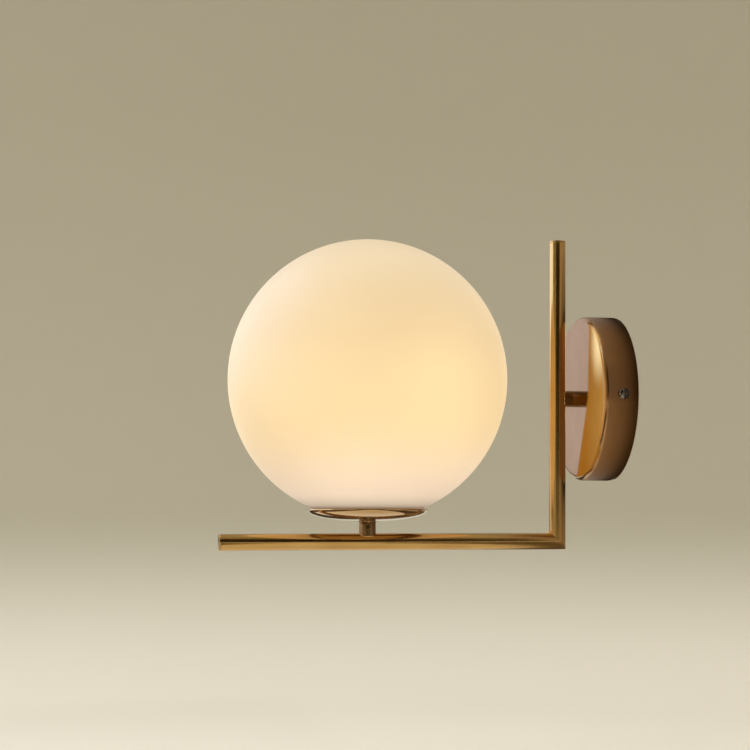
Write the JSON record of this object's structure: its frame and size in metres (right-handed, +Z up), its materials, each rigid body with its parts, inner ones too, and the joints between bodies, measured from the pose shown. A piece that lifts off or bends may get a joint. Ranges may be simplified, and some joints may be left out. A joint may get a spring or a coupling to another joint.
{
  "type": "wall sconce",
  "caption": "Wall sconce: an opal glass globe stands in a small saucer on an L of round brass tube, carried by a round wall plate.",
  "frame": {"origin": "centre of the wall plate's back, on the wall", "axes": "+Z up, +Y into the wall, the lamp stands out towards -Y, the tubes lie in the plane X = 0"},
  "size_m": [0.2, 0.29, 0.226],
  "materials": {
    "brushed_brass": "brushed, lightly aged",
    "dark_brass": "brushed, patinated",
    "raw_brass": "machined",
    "zinc_steel": "zinc plated",
    "bright_steel": "bright",
    "spun_aluminium": "spun",
    "opal_glass": "gloss opal",
    "bulb_diffuser": "frosted",
    "white_plastic": "moulded",
    "black_plastic": "moulded phenolic",
    "black_rubber": "matt",
    "porcelain": "unglazed",
    "circuit_board": "lacquered",
    "brown_wire": "extruded",
    "blue_wire": "extruded",
    "green_wire": "extruded"
  },
  "bodies": {
    "root": {"wall_plate": "dark_brass", "mounting_bracket": "zinc_steel", "cover_screws": "bright_steel", "earth_screw": "raw_brass", "earth_tag": "zinc_steel", "terminal_block": "white_plastic", "terminal_screws": "zinc_steel", "block_screws": "zinc_steel", "plate_nipple": "raw_brass", "plate_washer": "zinc_steel", "plate_lock_washer": "zinc_steel", "plate_nut": "raw_brass", "standoff": "brushed_brass", "post": "brushed_brass", "post_cap": "brushed_brass", "arm": "brushed_brass", "arm_cap": "brushed_brass", "stem": "brushed_brass", "stem_collar": "brushed_brass", "stem_nipple": "raw_brass", "saucer": "brushed_brass", "saucer_spacer": "spun_aluminium", "gallery_ring": "spun_aluminium", "gallery_nut": "raw_brass", "globe_gasket": "black_rubber", "lampholder_cap": "black_plastic", "lampholder_core": "porcelain", "lampholder_terminals": "raw_brass", "earth_terminal": "raw_brass", "centre_contact": "raw_brass", "screw_shell": "raw_brass", "lampholder_barrel": "black_plastic", "live_wire": "brown_wire", "neutral_wire": "blue_wire", "earth_wire": "green_wire"},
    "globe": {"globe": "opal_glass", "globe_collar": "spun_aluminium"},
    "bulb": {"bulb_dome": "bulb_diffuser", "bulb_housing": "white_plastic", "bulb_led_board": "porcelain", "bulb_driver_board": "circuit_board", "bulb_cap": "zinc_steel", "bulb_insulator": "black_plastic", "bulb_tip": "bright_steel"}
  },
  "joints": [
    {"name": "globe_lift", "type": "slide", "parent": "root", "child": "globe", "axis": [0, 0, 1], "range_m": [0, 0.12]},
    {"name": "bulb_lift", "type": "slide", "parent": "root", "child": "bulb", "axis": [0, 0, 1], "range_m": [0, 0.03]}
  ]
}
